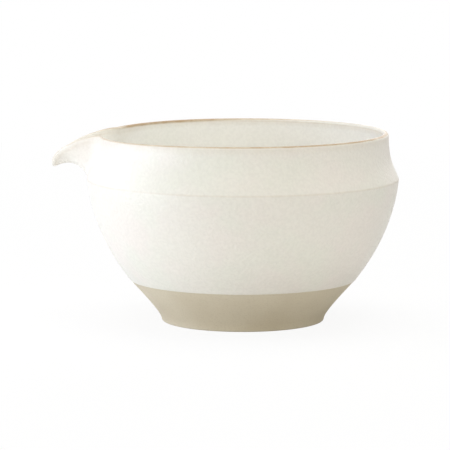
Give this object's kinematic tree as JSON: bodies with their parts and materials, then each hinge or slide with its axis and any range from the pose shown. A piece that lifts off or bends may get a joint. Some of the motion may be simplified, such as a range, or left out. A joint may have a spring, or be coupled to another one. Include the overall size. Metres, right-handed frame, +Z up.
{
  "type": "spouted bowl",
  "caption": "Round stoneware bowl with a short neck, a ridged shoulder, a drooping pouring spout and a foot ring, glazed above a bare clay band.",
  "frame": {"origin": "middle of the object's outline on the surface it stands on; the bowl's own axis is 8.05 mm towards +X, because the spout reaches out on the other side", "axes": "+Z up along the bowl's axis, -X along the spout, +Y to the side"},
  "size_m": [0.146, 0.1294, 0.0784],
  "materials": {
    "stoneware": "bare fired stoneware, matt, fine-grained, warm grey-beige",
    "white_glaze": "satin ivory-white glaze with a fine orange-peel surface",
    "iron_brown": "thin glaze over the edge where the iron-brown body shows through"
  },
  "bodies": {
    "root": {"bowl_wall": "stoneware", "spout": "stoneware", "foot_ring": "stoneware", "outer_glaze": "white_glaze", "inner_glaze": "white_glaze", "lip_line": "iron_brown"}
  },
  "joints": []
}
